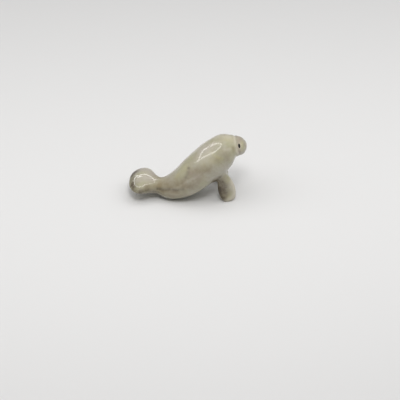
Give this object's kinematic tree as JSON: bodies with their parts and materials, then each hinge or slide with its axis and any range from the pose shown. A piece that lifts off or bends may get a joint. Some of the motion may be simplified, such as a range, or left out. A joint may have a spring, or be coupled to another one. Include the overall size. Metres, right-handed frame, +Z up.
{
  "type": "porcelain manatee figurine",
  "caption": "Small glazed porcelain manatee that rests on its belly and fore flippers, with its head raised and a round paddle tail.",
  "frame": {"origin": "middle of the ground flat under the belly, on the surface that the figurine stands on", "axes": "+X towards the snout, +Y to the animal's left, +Z up"},
  "size_m": [0.0467, 0.0181, 0.0265],
  "materials": {
    "glazed_porcelain": "glossy warm grey-green glaze, paler on top, with black eyes"
  },
  "bodies": {
    "root": {"manatee_figurine": "glazed_porcelain"}
  },
  "joints": []
}
